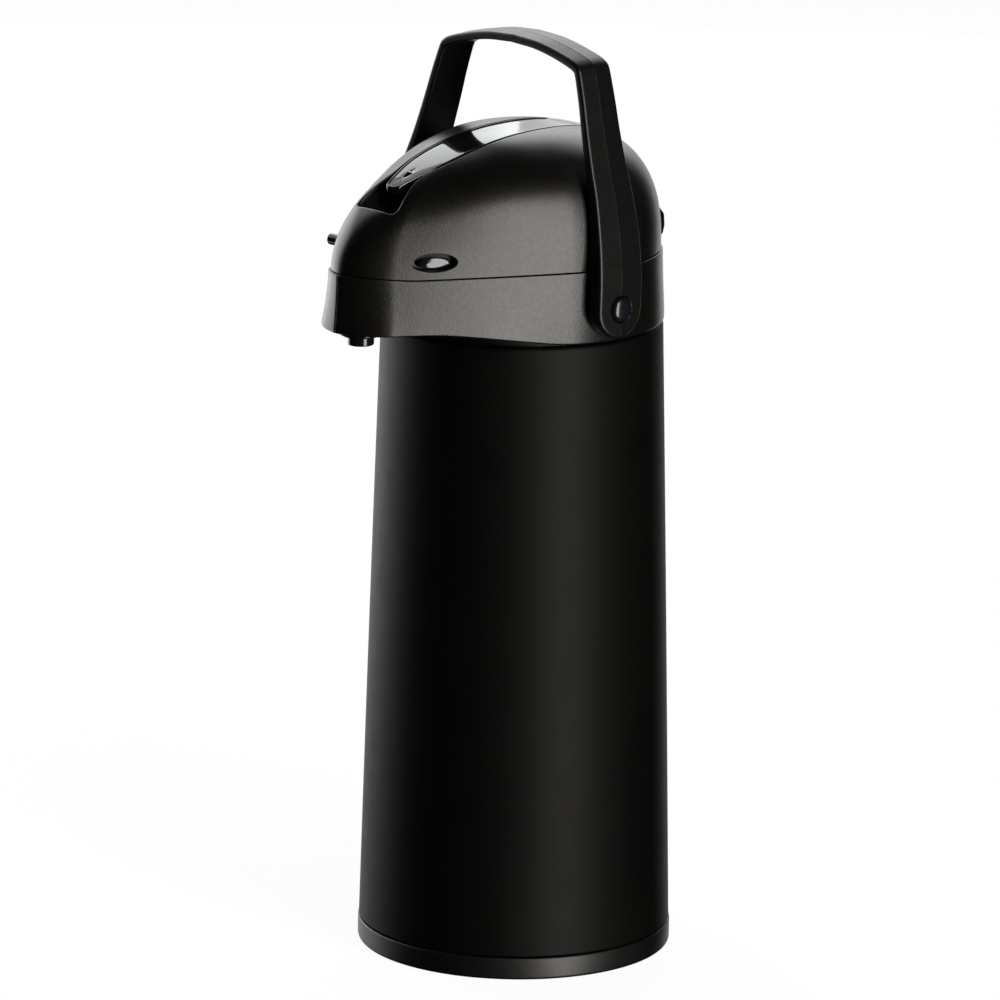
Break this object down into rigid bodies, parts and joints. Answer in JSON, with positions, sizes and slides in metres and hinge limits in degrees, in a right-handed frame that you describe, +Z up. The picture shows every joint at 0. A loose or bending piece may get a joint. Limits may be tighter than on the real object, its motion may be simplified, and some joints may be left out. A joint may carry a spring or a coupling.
{
  "type": "thermal coffee airpot",
  "caption": "Lever-action thermal airpot: a tall tapered vacuum flask on a swivel base, with a domed pump lid, a projecting spout nose, a push-through lock and a swinging bail handle.",
  "frame": {"origin": "centre of the swivel base's flat underside", "axes": "+Z up along the flask's axis, -Y towards the spout, +X to the side whose flank has the lock's oval recess"},
  "size_m": [0.1682, 0.216, 0.4776],
  "materials": {
    "matt_black_plastic": "fine spark texture, matt",
    "body_paint": "smooth satin black",
    "gloss_black_plastic": "polished",
    "inner_plastic": "plain moulded",
    "natural_plastic": "natural polypropylene",
    "black_rubber": "matt",
    "silicone": "translucent off-white",
    "silvered_glass": "silvered on the inside",
    "steel": "bright"
  },
  "bodies": {
    "base": {"swivel_base": "matt_black_plastic", "anti_slip_ring": "black_rubber", "swivel_washer": "steel", "swivel_screw": "steel"},
    "flask": {"body_shell": "body_paint", "bottom_cover": "inner_plastic", "liner_cushion": "black_rubber", "liner_outer_bottle": "silvered_glass", "liner_inner_bottle": "silvered_glass", "neck_ring": "inner_plastic", "mouth_gasket": "silicone", "collar": "matt_black_plastic", "spout_nozzle": "gloss_black_plastic", "nozzle_flange": "gloss_black_plastic", "outlet_pipe": "natural_plastic", "stem_head": "natural_plastic", "dip_tube": "natural_plastic", "pivot_pin_right": "gloss_black_plastic", "pivot_pin_left": "gloss_black_plastic", "lid_shell": "matt_black_plastic", "lever_well": "gloss_black_plastic", "inner_lid": "inner_plastic", "lid_screw_1": "steel", "lid_screw_2": "steel", "lid_screw_3": "steel", "lid_screw_4": "steel", "lid_gasket": "silicone", "air_valve": "silicone", "hinge_block": "gloss_black_plastic", "hinge_pin": "steel", "lever_pin": "steel"},
    "handle": {"handle": "matt_black_plastic"},
    "lever": {"lever": "gloss_black_plastic"},
    "pump": {"pump_plate": "natural_plastic", "bellows": "black_rubber", "pump_spring": "steel"},
    "lock": {"lock_rod": "gloss_black_plastic"},
    "ball": {"check_ball": "steel"}
  },
  "joints": [
    {"name": "base_swivel", "type": "hinge", "parent": "base", "child": "flask", "pos_m": [0, 0, 0.012], "axis": [0, 0, 1], "continuous": true},
    {"name": "handle_swing", "type": "hinge", "parent": "flask", "child": "handle", "pos_m": [0, -0.0085, 0.348], "axis": [1, 0, 0], "range_deg": [-95, 115]},
    {"name": "lever_hinge", "type": "hinge", "parent": "flask", "child": "lever", "pos_m": [0, 0.044, 0.417], "axis": [-1, 0, 0], "range_deg": [0, 20]},
    {"name": "pump_press", "type": "slide", "parent": "flask", "child": "pump", "axis": [0, 0, 1], "range_m": [0, 0.0134], "deforming": ["bellows", "pump_spring"]},
    {"name": "lock_slide", "type": "slide", "parent": "flask", "child": "lock", "axis": [1, 0, 0], "range_m": [0, 0.006]},
    {"name": "ball_lift", "type": "slide", "parent": "flask", "child": "ball", "axis": [0, 0, 1], "range_m": [0, 0.0015]}
  ],
  "couplings": [
    {"joint": "pump_press", "follows": "lever_hinge", "m_per_rad": 0.038}
  ]
}
